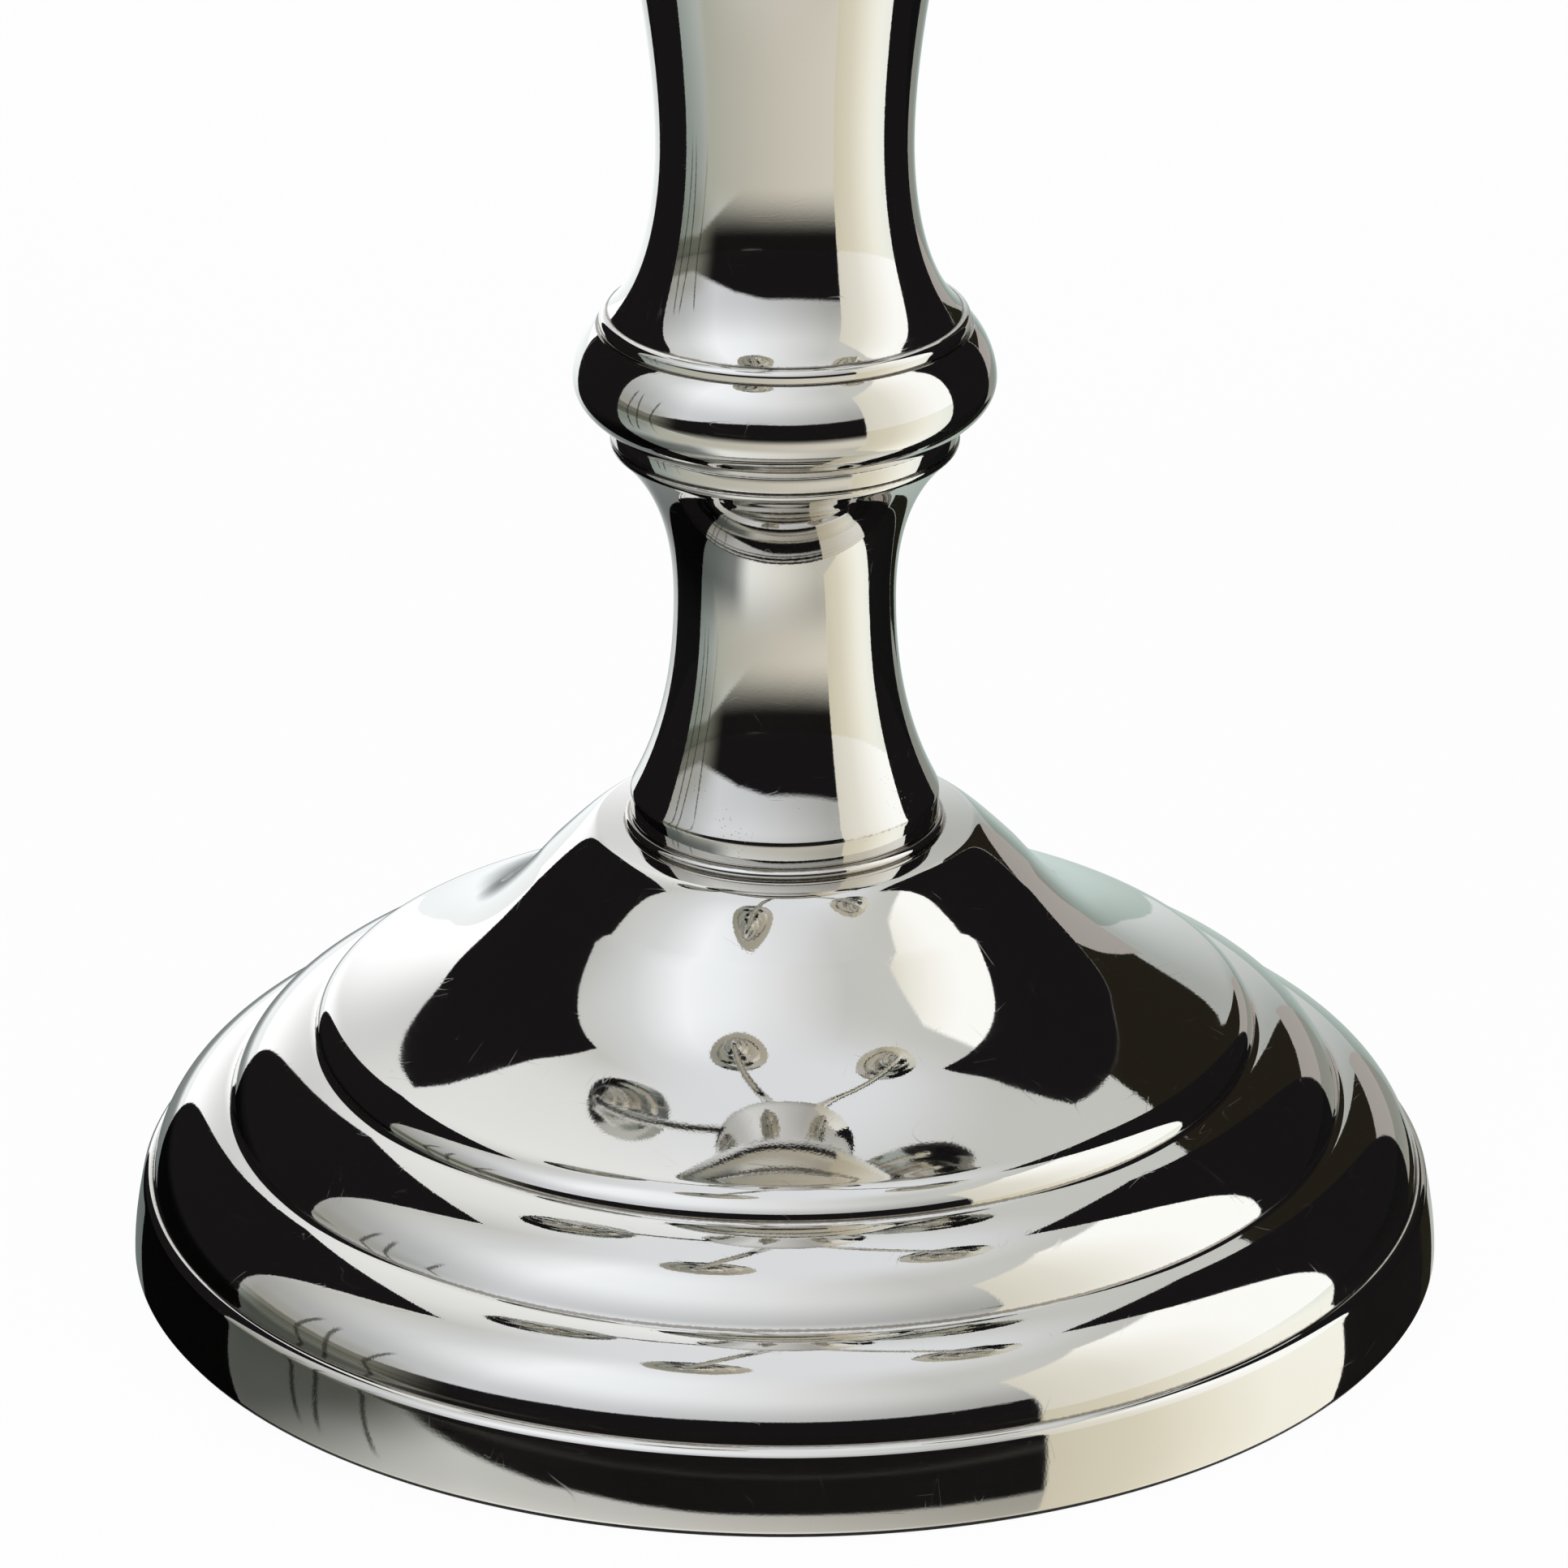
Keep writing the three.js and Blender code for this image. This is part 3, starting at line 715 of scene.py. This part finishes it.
def makeNickel(name, centre=(0, 0), creases=(), pits=False):
    # centre is the axis that the piece was turned and polished on, in millimetres, and creases are
    # (r, z) rings in which polish and tarnish stay
    n = Nodes(name)
    place = n.add("ShaderNodeTexCoord").outputs["Object"]
    shift = {"Vector": place, "Location": (-centre[0] * mm, -centre[1] * mm, 0.0)}
    spot = n.add("ShaderNodeMapping", shift).outputs[0]
    parts = n.add("ShaderNodeSeparateXYZ", {0: spot}).outputs
    squares = n.math("ADD", n.math("POWER", parts[0], 2.0), n.math("POWER", parts[1], 2.0))
    across = n.math("SQRT", squares)
    safe = n.math("MAXIMUM", across, 0.0001)
    outward = {0: n.math("DIVIDE", parts[0], safe), 1: n.math("DIVIDE", parts[1], safe)}
    ring = n.add("ShaderNodeCombineXYZ", outward).outputs[0]
    along = n.math("ADD", n.math("MULTIPLY", across, nickel["linesAcross"]),
                   n.math("MULTIPLY", parts[2], nickel["linesUp"]))
    lines = n.noise(ring, 1.6, detail=4.0, roughness=0.7, w=along)
    peel = n.noise(spot, 1 / (nickel["peelSize"] * mm), detail=1.5)
    wave = n.noise(spot, 1 / (nickel["waveSize"] * mm), detail=1.0)
    cloud = n.noise(spot, nickel["cloudScale"], detail=5.0, roughness=0.6)
    scuff = n.noise(spot, nickel["scuffScale"], detail=2.0)
    scratch = n.scratches(spot)

    cloudy = n.math("MULTIPLY", cloud, nickel["cloudRough"])
    mixed = n.math("ADD", cloudy, n.math("MULTIPLY", lines, 1.0 - nickel["cloudRough"]))
    rough = n.spread(mixed, *nickel["roughSpread"], *nickel["roughness"])
    colour = n.blend(n.spread(cloud, *nickel["cloudSpread"]), nickel["colour"], nickel["cloud"])
    widest = nickel["creaseWidth"] * mm
    for r, z in creases:
        down = n.math("SUBTRACT", parts[2], z * mm)
        out = n.math("SUBTRACT", across, r * mm)
        gap = n.math("SQRT", n.math("ADD", n.math("POWER", down, 2.0), n.math("POWER", out, 2.0)))
        reach = n.spread(scuff, 0.2, 0.8, 0.5 * widest, widest)
        mask = n.spread(n.math("DIVIDE", gap, reach), 0.3, 1.0, nickel["creaseStrength"], 0.0)
        colour = n.blend(mask, colour, nickel["stain"])
        rough = n.math("ADD", rough, n.math("MULTIPLY", mask, nickel["creaseRough"]))
    if pits:
        cells = n.add("ShaderNodeTexVoronoi", {"Vector": spot, "Scale": pitting["scale"]})
        dots = n.spread(cells.outputs["Distance"], *pitting["dot"])
        patch = n.spread(n.noise(spot, pitting["patchScale"], detail=2.0), *pitting["patch"])
        bottom, top = pitting["heights"]
        low = n.spread(parts[2], bottom * mm, top * mm, 1.0, 0.0)
        mask = n.math("MULTIPLY", n.math("MULTIPLY", dots, patch), low)
        share = n.math("MULTIPLY", mask, pitting["strength"])
        colour = n.blend(share, colour, pitting["colour"])
        rough = n.math("ADD", rough, n.math("MULTIPLY", mask, pitting["rough"]))
    normal = n.bump(wave, nickel["waveDepth"] * mm)
    normal = n.bump(peel, nickel["peelDepth"] * mm, normal)
    normal = n.bump(lines, nickel["lineDepth"] * mm, normal)
    normal = n.bump(scratch, -nickel["scratchDepth"] * mm, normal)
    rough = n.math("ADD", rough, n.math("MULTIPLY", scratch, nickel["scratchRough"]))
    inputs = {"Base Color": colour, "Metallic": 1.0, "Roughness": rough, "Normal": normal}
    return n.finish(n.add("ShaderNodeBsdfPrincipled", inputs))


feltLook = {
    "dark": (0.010, 0.010, 0.011, 1.0),
    "lessDark": (0.024, 0.022, 0.021, 1.0),
    "fuzz": (0.07, 0.065, 0.06, 1.0),
    "fuzzScale": 1500.0,
    "fuzzDepth": 0.12,
    "patchScale": 90.0,
    "sheen": 0.4,
}


def makeFeltFinish():
    n = Nodes("darkFelt")
    spot = n.add("ShaderNodeTexCoord").outputs["Object"]
    fuzz = n.noise(spot, feltLook["fuzzScale"], detail=4.0, roughness=0.75)
    patches = n.noise(spot, feltLook["patchScale"], detail=3.0)
    dark = n.blend(patches, feltLook["dark"], feltLook["lessDark"])
    colour = n.blend(n.spread(fuzz, 0.5, 0.75, 0.0, 0.6), dark, feltLook["fuzz"])
    rough = n.spread(fuzz, 0.3, 0.7, 0.85, 1.0)
    normal = n.bump(fuzz, feltLook["fuzzDepth"] * mm)
    inputs = {"Base Color": colour, "Roughness": rough, "Normal": normal, "Sheen Weight": feltLook["sheen"]}
    return n.finish(n.add("ShaderNodeBsdfPrincipled", inputs))


steel = {
    "colours": ((0.42, 0.42, 0.43, 1.0), (0.56, 0.55, 0.53, 1.0)),
    "roughness": (0.28, 0.5),
    "grainScale": 1200.0,
    "grainDepth": 0.01,
    "cloudScale": 120.0,
}


def makeSteel():
    n = Nodes("plainSteel")
    spot = n.add("ShaderNodeTexCoord").outputs["Object"]
    grain = n.noise(spot, steel["grainScale"], detail=4.0)
    cloud = n.noise(spot, steel["cloudScale"], detail=4.0)
    colour = n.blend(cloud, *steel["colours"])
    rough = n.spread(grain, 0.3, 0.7, *steel["roughness"])
    normal = n.bump(grain, steel["grainDepth"] * mm)
    inputs = {"Base Color": colour, "Metallic": 1.0, "Roughness": rough, "Normal": normal}
    return n.finish(n.add("ShaderNodeBsdfPrincipled", inputs))


iron = {
    "colours": ((0.045, 0.044, 0.043, 1.0), (0.14, 0.07, 0.035, 1.0)),
    "roughness": (0.6, 0.9),
    "metallic": 0.6,
    "sandScale": 700.0,
    "sandDepth": 0.25,
    "rustScale": 60.0,
}


def makeIron():
    n = Nodes("castIron")
    spot = n.add("ShaderNodeTexCoord").outputs["Object"]
    sand = n.noise(spot, iron["sandScale"], detail=5.0, roughness=0.65)
    rust = n.noise(spot, iron["rustScale"], detail=5.0)
    colour = n.blend(n.spread(rust, 0.5, 0.75), *iron["colours"])
    rough = n.spread(sand, 0.3, 0.7, *iron["roughness"])
    normal = n.bump(sand, iron["sandDepth"] * mm)
    inputs = {"Base Color": colour, "Metallic": iron["metallic"], "Roughness": rough, "Normal": normal}
    return n.finish(n.add("ShaderNodeBsdfPrincipled", inputs))


# Studio: a white room, and round the holder a soft tent with dark and light zones, some cards and a
# polished table top, none of which the camera sees but in the metal

studio = {
    "swing": 27.5,  # degrees from arm 1 to the camera
    "tentRadius": 3.0,  # metres
    "floorGlow": 0.96,
    "paper": (0.85, 0.85, 0.85, 1.0),
    "black": (0.0, 0.0, 0.0, 1.0),
    "dark": (0.012, 0.011, 0.012, 1.0),
    "brown": (0.022, 0.019, 0.013, 1.0),
    "grey": (0.50, 0.47, 0.45, 1.0),
    "pale": (0.90, 0.92, 0.90, 1.0),
    # the cards stand upright on two feet, each (right of the axis, away from the camera) in metres
    "cards": {
        "darkCardLeft": ("dark", ((-0.200, 0.020), (-0.195, 0.29)), 0.30),
        "darkCardRight": ("dark", ((0.205, 0.025), (0.226, 0.27)), 0.43),
        "paleStrip": ("pale", ((0.2275, 0.272), (0.2300, 0.276)), 0.43),
        "brownPanel": ("brown", ((0.302, 0.373), (0.220, 0.471)), 0.45),
        "greyBox": ("grey", ((0.290, 0.350), (0.200, 0.450)), 0.11),
    },
}


def stagePlane(name, corners, material):
    clearSelection()
    bpy.ops.mesh.primitive_plane_add(size=1)
    panel = bpy.context.object
    panel.name = name
    for vertex, corner in zip(panel.data.vertices, corners):
        vertex.co = corner
    panel.data.materials.append(material)
    return panel


def levelSquare(half, height):
    return [(x, y, height) for y in (-half, half) for x in (-half, half)]


def hideFromCamera(panel):
    panel.visible_camera = False
    panel.visible_shadow = False
    panel.visible_transmission = False


def makeFloor():
    n = Nodes("paleFloor")
    ray = n.add("ShaderNodeLightPath").outputs
    mirrored = n.math("MAXIMUM", ray["Is Glossy Ray"], ray["Is Transmission Ray"])
    seen = n.math("MAXIMUM", ray["Is Camera Ray"], mirrored)
    paper = n.add("ShaderNodeBsdfDiffuse", {"Color": studio["paper"]})
    white = n.add("ShaderNodeEmission", {"Color": (1.0, 1.0, 1.0, 1.0), "Strength": 1.0})
    mix = n.add("ShaderNodeMixShader", {0: n.math("MULTIPLY", seen, studio["floorGlow"])})
    n.tree.links.new(paper.outputs[0], mix.inputs[1])
    n.tree.links.new(white.outputs[0], mix.inputs[2])
    stagePlane("floor", levelSquare(2 * studio["tentRadius"], 0), n.finish(mix))


# colours round the holder are (degrees, colour), and spans are in degrees or metres
table = {
    "height": 0.0002,
    "roughness": 0.03,
    # painted glow: the lit colour of the wood, which the table gives off itself, round the holder
    "paintedGlow": (
        (-70, (0.58, 0.60, 0.53, 1)),
        (0, (0.82, 0.79, 0.70, 1)),
        (44, (0.92, 0.90, 0.80, 1)),
    ),
    # painted reflection and shade: the mirror's colour round the holder, darker where cards and room would
    # be mirrored
    "paintedMirrorShade": (
        (-140, (0.80, 0.82, 0.81, 1)),
        (-95, (0.62, 0.70, 0.66, 1)),
        (-60, (0.84, 0.84, 0.78, 1)),
        (0, (0.92, 0.88, 0.80, 1)),
        (46, (0.90, 0.87, 0.78, 1)),
        (80, (0.93, 0.92, 0.86, 1)),
        (130, (0.66, 0.74, 0.70, 1)),
    ),
    "near": (0.10, 0.20),
    "leftSide": (-80.0, -66.0),
    "rightSide": (42.5, 44.5),
    # painted shadow of the foot, blended into the mirror's colour near the foot on the left
    "shadow": (0.05, 0.06, 0.055, 1),
    "shadowStrength": 0.8,
    "shadowEdge": (-56.0, -34.0),
    "grazing": (0.70, 0.91),
}


def makeTable():
    # in front it glows with a painted colour of lit wood seen from above, and mirrors the room near
    # grazing; beside the foot and towards the sides it is a mirror throughout, whose colour holds painted
    # reflection and shade round the holder and a painted shadow of the foot on its left
    n = Nodes("polishedTable")
    turned = n.azimuth()
    paintedLitColour = n.roundRamp(turned, table["paintedGlow"])
    paintedMirrorShade = n.roundRamp(turned, table["paintedMirrorShade"])
    place = n.add("ShaderNodeTexCoord").outputs["Object"]
    away = n.add("ShaderNodeVectorMath", {0: place}, operation="LENGTH").outputs["Value"]
    near = n.spread(away, *table["near"], 1.0, 0.0)
    # painted shadow of the foot on the table, strongest near the foot and on its left
    fade = n.spread(turned, *table["shadowEdge"], table["shadowStrength"], 0.0)
    paintedMirrorShade = n.blend(n.math("MULTIPLY", near, fade), paintedMirrorShade, table["shadow"])
    leftSide = n.spread(turned, *table["leftSide"], 1.0, 0.0)
    beside = n.math("MAXIMUM", leftSide, n.spread(turned, *table["rightSide"]))
    facing = n.add("ShaderNodeLayerWeight", {"Blend": 0.5}).outputs["Facing"]
    # the table top glows with this painted lit colour, though it is no lamp
    paintedGlow = n.add("ShaderNodeEmission", {"Color": paintedLitColour})
    mirror = n.add("ShaderNodeBsdfGlossy", {"Color": paintedMirrorShade, "Roughness": table["roughness"]})
    grazing = n.spread(facing, *table["grazing"])
    share = n.math("MAXIMUM", grazing, n.math("MAXIMUM", near, beside))
    mix = n.add("ShaderNodeMixShader", {0: share})
    n.tree.links.new(paintedGlow.outputs[0], mix.inputs[1])
    n.tree.links.new(mirror.outputs[0], mix.inputs[2])
    top = stagePlane("tableTop", levelSquare(0.98 * studio["tentRadius"], table["height"]), n.finish(mix))
    hideFromCamera(top)
    top.visible_diffuse = False


def makeCard(name, colour, ends, height):
    n = Nodes(name)
    swing = math.radians(studio["swing"])
    feet = []
    for across, away in ends:
        x = across * math.cos(swing) - away * math.sin(swing)
        y = across * math.sin(swing) + away * math.cos(swing)
        feet.append((x, y))
    corners = [(x, y, z) for z in (0.0, height) for x, y in feet]
    glow = n.add("ShaderNodeEmission", {"Color": studio[colour]})
    hideFromCamera(stagePlane(name, corners, n.finish(glow)))


tent = {
    "soft": (
        (-170, (1.20, 1.24, 1.28, 1)),
        (-135, (1.05, 1.08, 1.10, 1)),
        (-105, (0.80, 0.82, 0.82, 1)),
        (-80, (0.95, 1.0, 1.05, 1)),
        (-55, (1.33, 1.40, 1.50, 1)),
        (-30, (1.24, 1.31, 1.41, 1)),
        (0, (1.06, 1.10, 1.15, 1)),
        (35, (0.80, 0.82, 0.83, 1)),
        (60, (0.82, 0.84, 0.83, 1)),
        (110, (0.78, 0.80, 0.80, 1)),
        (165, (0.80, 0.83, 0.82, 1)),
    ),
    "lowShade": (15.0, 46.0, 0.66, 1.0),
    "overhead": (1.03, 1.08, 1.16, 1),
    "overheadEdge": (56.0, 78.0),
}
warmWall = {
    "colour": (
        (44, (0.98, 0.96, 0.86, 1)),
        (60, (1.10, 1.09, 1.00, 1)),
        (76, (1.33, 1.34, 1.30, 1)),
        (90, (1.46, 1.50, 1.52, 1)),
    ),
    "top": (44.0, 75.0, 42.0, 55.0),
    "topEdge": 0.8,
    "near": (43.4, 44.2),
    "far": (112.0, 116.0),
}
darkRoom = {
    "top": (-78.0, -40.0, 4.5, 13.5),
    "topRise": (-46.0, -10.0, 0.0, 4.0),
    "topEdge": 0.9,
    "left": (-110.0, -100.0),
    "right": (43.0, 44.0),
}
leftWall = {
    "colour": (0.42, 0.42, 0.36, 1),
    "left": (-108.0, -104.0),
    "right": (-78.0, -58.0),
    "bottom": (-4.0, 2.0),
    "top": (8.0, 17.0, 0.55, 0.0),
    "bar": (0.05, 0.05, 0.045, 1),
    "bars": ((-92.0, 0.10), (-84.5, -0.05), (-76.0, 0.16)),  # each (azimuth, lean)
    "barEdge": (0.3, 0.8, 0.8, 0.0),
    "barTop": (16.0, 22.0, 1.0, 0.0),
}
backWall = {
    "colour": (
        (-150, (1.42, 1.46, 1.52, 1)),
        (140, (0.50, 0.54, 0.52, 1)),
        (160, (0.52, 0.56, 0.55, 1)),
        (179, (1.20, 1.26, 1.30, 1)),
    ),
    "left": (-142.0, -138.0, 1.0, 0.0),
    "right": (130.0, 134.0),
    "top": (8.0, 30.0, 1.0, 0.0),
}


def addWarmWall(n, colour, turned, height):
    # warm white wall on the right, brighter away from the camera
    top = n.spread(turned, *warmWall["top"], smooth=False)
    edge = warmWall["topEdge"]
    under = n.spread(n.math("SUBTRACT", height, top), -edge, edge, 1.0, 0.0)
    between = n.math("MULTIPLY", n.spread(turned, *warmWall["near"]),
                     n.spread(turned, *warmWall["far"], 1.0, 0.0))
    return n.blend(n.math("MULTIPLY", under, between), colour, n.roundRamp(turned, warmWall["colour"]))


def addDarkRoom(n, colour, turned, height):
    # dark room behind the camera, whose top falls to the left
    top = n.math("ADD", n.spread(turned, *darkRoom["top"], smooth=False),
                 n.spread(turned, *darkRoom["topRise"]))
    edge = darkRoom["topEdge"]
    under = n.spread(n.math("SUBTRACT", height, top), -edge, edge, 1.0, 0.0)
    between = n.math("MULTIPLY", n.spread(turned, *darkRoom["left"]),
                     n.spread(turned, *darkRoom["right"], 1.0, 0.0))
    return n.blend(n.math("MULTIPLY", under, between), colour, studio["dark"])


def addLeftWall(n, colour, turned, height):
    # grey wall on the left with dark uprights
    side = n.math("MULTIPLY", n.spread(turned, *leftWall["left"]),
                  n.spread(turned, *leftWall["right"], 1.0, 0.0))
    lowSide = n.math("MULTIPLY", side, n.spread(height, *leftWall["bottom"]))
    share = n.math("MULTIPLY", lowSide, n.spread(height, *leftWall["top"]))
    colour = n.blend(share, colour, leftWall["colour"])
    for middle, lean in leftWall["bars"]:
        leaning = n.math("SUBTRACT", n.math("SUBTRACT", turned, middle), n.math("MULTIPLY", height, lean))
        thin = n.spread(n.math("ABSOLUTE", leaning), *leftWall["barEdge"])
        bar = n.math("MULTIPLY", thin, n.spread(height, *leftWall["barTop"]))
        colour = n.blend(bar, colour, leftWall["bar"])
    return colour


def addBackWall(n, colour, turned, height):
    # pale zone behind, white on the left and grey on the right
    behind = n.math("MAXIMUM", n.spread(turned, *backWall["left"]), n.spread(turned, *backWall["right"]))
    low = n.math("MULTIPLY", behind, n.spread(height, *backWall["top"]))
    return n.blend(low, colour, n.roundRamp(turned, backWall["colour"]))


def makeTent():
    n = Nodes("softTent")
    place = n.add("ShaderNodeTexCoord").outputs["Object"]
    unit = n.add("ShaderNodeVectorMath", {0: place}, operation="NORMALIZE").outputs[0]
    up = n.add("ShaderNodeSeparateXYZ", {0: unit}).outputs[2]
    height = n.math("DEGREES", n.math("ARCSINE", up))
    turned = n.azimuth()
    soft = n.roundRamp(turned, tent["soft"])
    shade = n.math("SUBTRACT", 1.0, n.spread(height, *tent["lowShade"]))
    colour = n.blend(shade, soft, studio["black"])
    colour = n.blend(n.spread(height, *tent["overheadEdge"]), colour, tent["overhead"])
    for addZone in (addWarmWall, addDarkRoom, addLeftWall, addBackWall):
        colour = addZone(n, colour, turned, height)
    material = n.finish(n.add("ShaderNodeEmission", {"Color": colour, "Strength": 1.0}))
    clearSelection()
    bpy.ops.mesh.primitive_uv_sphere_add(segments=48, ring_count=24, radius=studio["tentRadius"])
    dome = bpy.context.object
    dome.name = "softTent"
    dome.data.materials.append(material)
    hideFromCamera(dome)


def makeWorld():
    world = bpy.data.worlds.new("whiteRoom")
    bpy.context.scene.world = world
    n = Nodes("whiteRoom", world)
    white = {"Color": (1.0, 1.0, 1.0, 1.0), "Strength": 1.0}
    n.finish(n.add("ShaderNodeBackground", white))


# Put together

clearSelection()
makeCamera()
makeWorld()
makeFloor()
makeTable()
makeTent()
for name, (colour, ends, height) in studio["cards"].items():
    makeCard(name, colour, ends, height)
bpy.context.scene.view_settings.view_transform = "Standard"
print("camera and studio placed")

footCreases = [foot[key] for key in ("firstCrease", "secondCrease", "thirdCrease")]
footCreases.append((14.6, 42.1))  # under the seating ring
spoolCreases = [(14.3, 43.0), (14.2, 45.4), (15.6, 79.45)]
stemCreases = spoolCreases + [(15.65, 81.1), (16.75, 90.0), (15.85, 91.35)]
footNickel = makeNickel("polishedNickelFoot", creases=footCreases)
stemNickel = makeNickel("polishedNickelStem", creases=stemCreases)
spoolNickel = makeNickel("polishedNickelSpool", creases=spoolCreases, pits=True)
armNickel = makeNickel("polishedNickelArm")

finishPiece(makeFootShell(), "holder", "nickel_foot", footNickel, "foot_shell")
finishPiece(makeFelt(), "holder", "felt", makeFeltFinish(), "felt_pad")
finishPiece(makeSeatingRing(), "holder", "nickel_stem", stemNickel, "seating_ring")
finishPiece(makeSpool(), "holder", "nickel_stem", spoolNickel, "spool")
finishPiece(makeCollar(), "holder", "nickel_stem", stemNickel, "collar_disc")
finishPiece(makeKnop(), "holder", "nickel_stem", stemNickel, "knop")
finishPiece(makeUpperStem(), "holder", "nickel_stem", stemNickel, "upper_stem")
finishPiece(makeHub(), "holder", "nickel_stem", stemNickel, "branch_hub")
finishPiece(makeFinial(), "holder", "nickel_stem", stemNickel, "finial")
print("foot and stem done")

branchParts = (("arm", makeArm()), ("socket", makeSocket()), ("nozzle", makeNozzle()))
for i, turn in enumerate(armTurns, start=1):
    seat = (arm["reach"] * math.cos(turn), arm["reach"] * math.sin(turn))
    panNickel = makeNickel(f"polishedNickelPan{i}", centre=seat)
    for kind, pattern in branchParts:
        piece = copyPiece(pattern, f"{kind}{i}")
        place(piece, turn=turn)
        body = f"pan_{i}" if kind == "nozzle" else "holder"
        finish = "nickel_arm" if kind == "arm" else "nickel_pan"
        material = armNickel if kind == "arm" else panNickel
        finishPiece(piece, body, finish, material, f"{kind}_{i}")
for kind, pattern in branchParts:
    bpy.data.objects.remove(pattern)
print("branches done")

socketNuts = [f"socket_nut_{i}" for i in (1, 2, 3, 4)]
hardware = {
    makeSteel(): ("base_plate", "rod_washer", "rod_nut", "tie_rod", *socketNuts),
    makeIron(): ("foot_weight",),
}
for material, names in hardware.items():
    for name in names:
        for slot in bpy.data.objects[name].material_slots:
            slot.material = material
print("hidden hardware finished")
